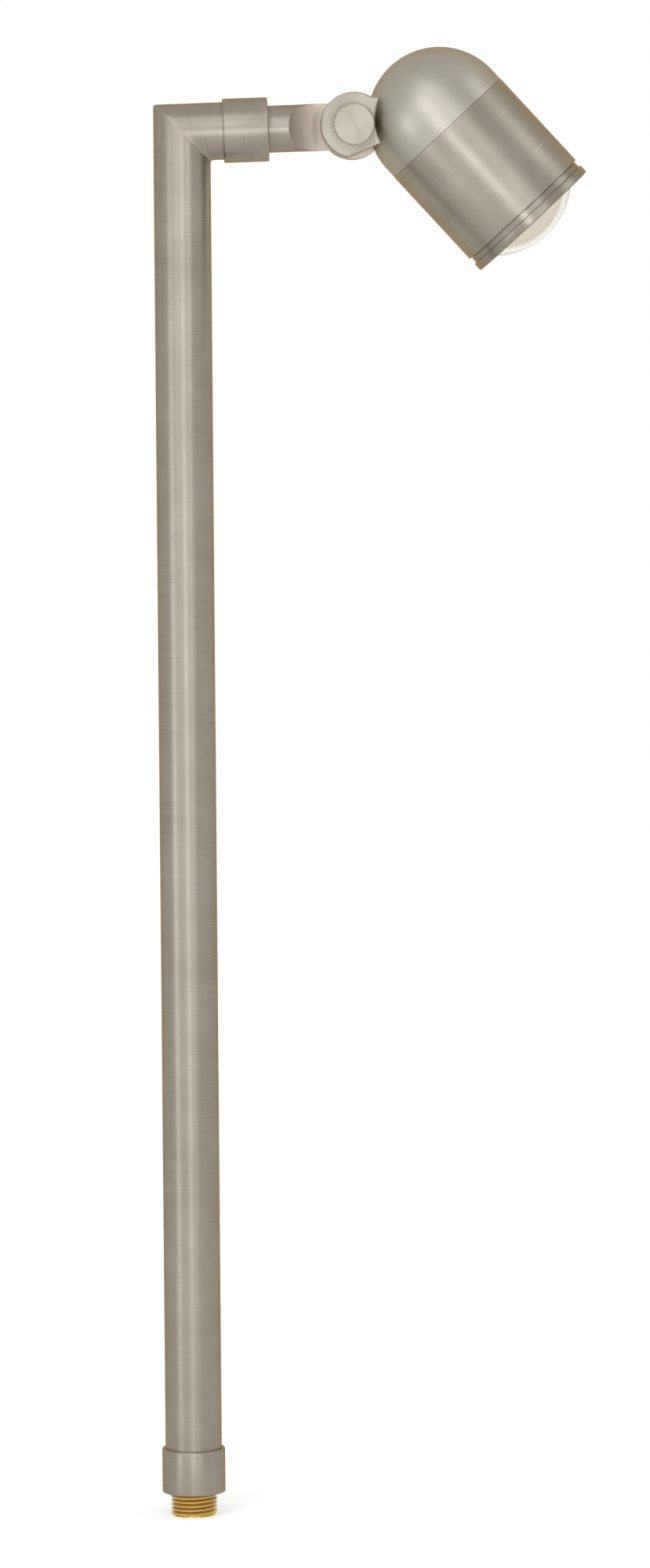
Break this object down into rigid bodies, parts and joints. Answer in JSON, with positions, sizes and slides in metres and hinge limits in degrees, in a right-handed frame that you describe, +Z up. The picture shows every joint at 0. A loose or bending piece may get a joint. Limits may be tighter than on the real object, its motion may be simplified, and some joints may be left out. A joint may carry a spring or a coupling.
{
  "type": "stem spotlight",
  "caption": "Satin metal garden spotlight: a mitred tube stem with a threaded foot, a swivelling knuckle and a tilting domed lamp head with a clear lens, clamped by a thumb screw.",
  "frame": {"origin": "centre of the base collar's bottom face, where the threaded nipple leaves it", "axes": "+Z up the stem, +X along the arm towards the head, -Y towards the thumb screw's knob"},
  "size_m": [0.1938, 0.0642, 0.6572],
  "materials": {
    "satin_nickel": "brushed satin nickel",
    "raw_brass": "bare turned brass",
    "black_rubber": "moulded matt",
    "plain_steel": "plain bright steel",
    "clear_glass": "polished clear",
    "reflector_coat": "faceted mirror coat",
    "white_ceramic": "fired matt ceramic",
    "lead_sleeve": "extruded insulation"
  },
  "bodies": {
    "stem": {"stem_tube": "satin_nickel", "arm_tube": "satin_nickel", "base_collar": "satin_nickel", "arm_collar": "satin_nickel", "thread_nipple": "raw_brass", "wire_grommet": "black_rubber", "stem_leads": "lead_sleeve"},
    "knuckle": {"knuckle": "satin_nickel", "swivel_o_ring": "black_rubber", "pivot_o_ring": "black_rubber", "knuckle_leads": "lead_sleeve"},
    "pivot_washer": {"pivot_washer": "plain_steel"},
    "thumb_screw": {"thumb_screw": "satin_nickel"},
    "head": {"rear_housing": "satin_nickel", "front_housing": "satin_nickel", "housing_o_ring": "black_rubber", "lamp_reflector": "reflector_coat", "lamp_cover_glass": "clear_glass", "lamp_capsule": "clear_glass", "lamp_base": "white_ceramic", "lamp_pins": "raw_brass", "lamp_holder": "white_ceramic", "holder_bracket": "plain_steel", "holder_screws": "plain_steel", "bracket_screws": "plain_steel", "head_leads": "lead_sleeve", "lead_grommet": "black_rubber"},
    "bezel_seal": {"bezel_o_ring": "black_rubber"},
    "bezel": {"lens_bezel": "satin_nickel", "glass_lens": "clear_glass", "lens_gasket": "black_rubber", "lens_retainer": "plain_steel"}
  },
  "joints": [
    {"name": "knuckle_swivel", "type": "hinge", "parent": "stem", "child": "knuckle", "pos_m": [0.03828, 0, 0.6108], "axis": [0.9995, 0, 0.0314], "range_deg": [-170, 170]},
    {"name": "head_tilt", "type": "hinge", "parent": "knuckle", "child": "head", "pos_m": [0.07596, 0, 0.61199], "axis": [0, 1, 0], "range_deg": [-75, 78]},
    {"name": "screw_travel", "type": "slide", "parent": "knuckle", "child": "pivot_washer", "axis": [0, -1, 0], "range_m": [0, 0.00254]},
    {"name": "thumb_screw_turn", "type": "hinge", "parent": "pivot_washer", "child": "thumb_screw", "pos_m": [0.07596, 0, 0.61199], "axis": [0, -1, 0], "range_deg": [0, 720]},
    {"name": "bezel_travel", "type": "slide", "parent": "head", "child": "bezel_seal", "axis": [0.6769, 0, -0.7361], "range_m": [0, 0.006]},
    {"name": "bezel_turn", "type": "hinge", "parent": "bezel_seal", "child": "bezel", "pos_m": [0.11805, 0, 0.61085], "axis": [0.6769, 0, -0.7361], "range_deg": [0, 1440]}
  ],
  "couplings": [
    {"joint": "thumb_screw_turn", "follows": "screw_travel", "rad_per_m": 4947.3},
    {"joint": "bezel_travel", "follows": "bezel_turn", "m_per_rad": 0.00023873}
  ]
}
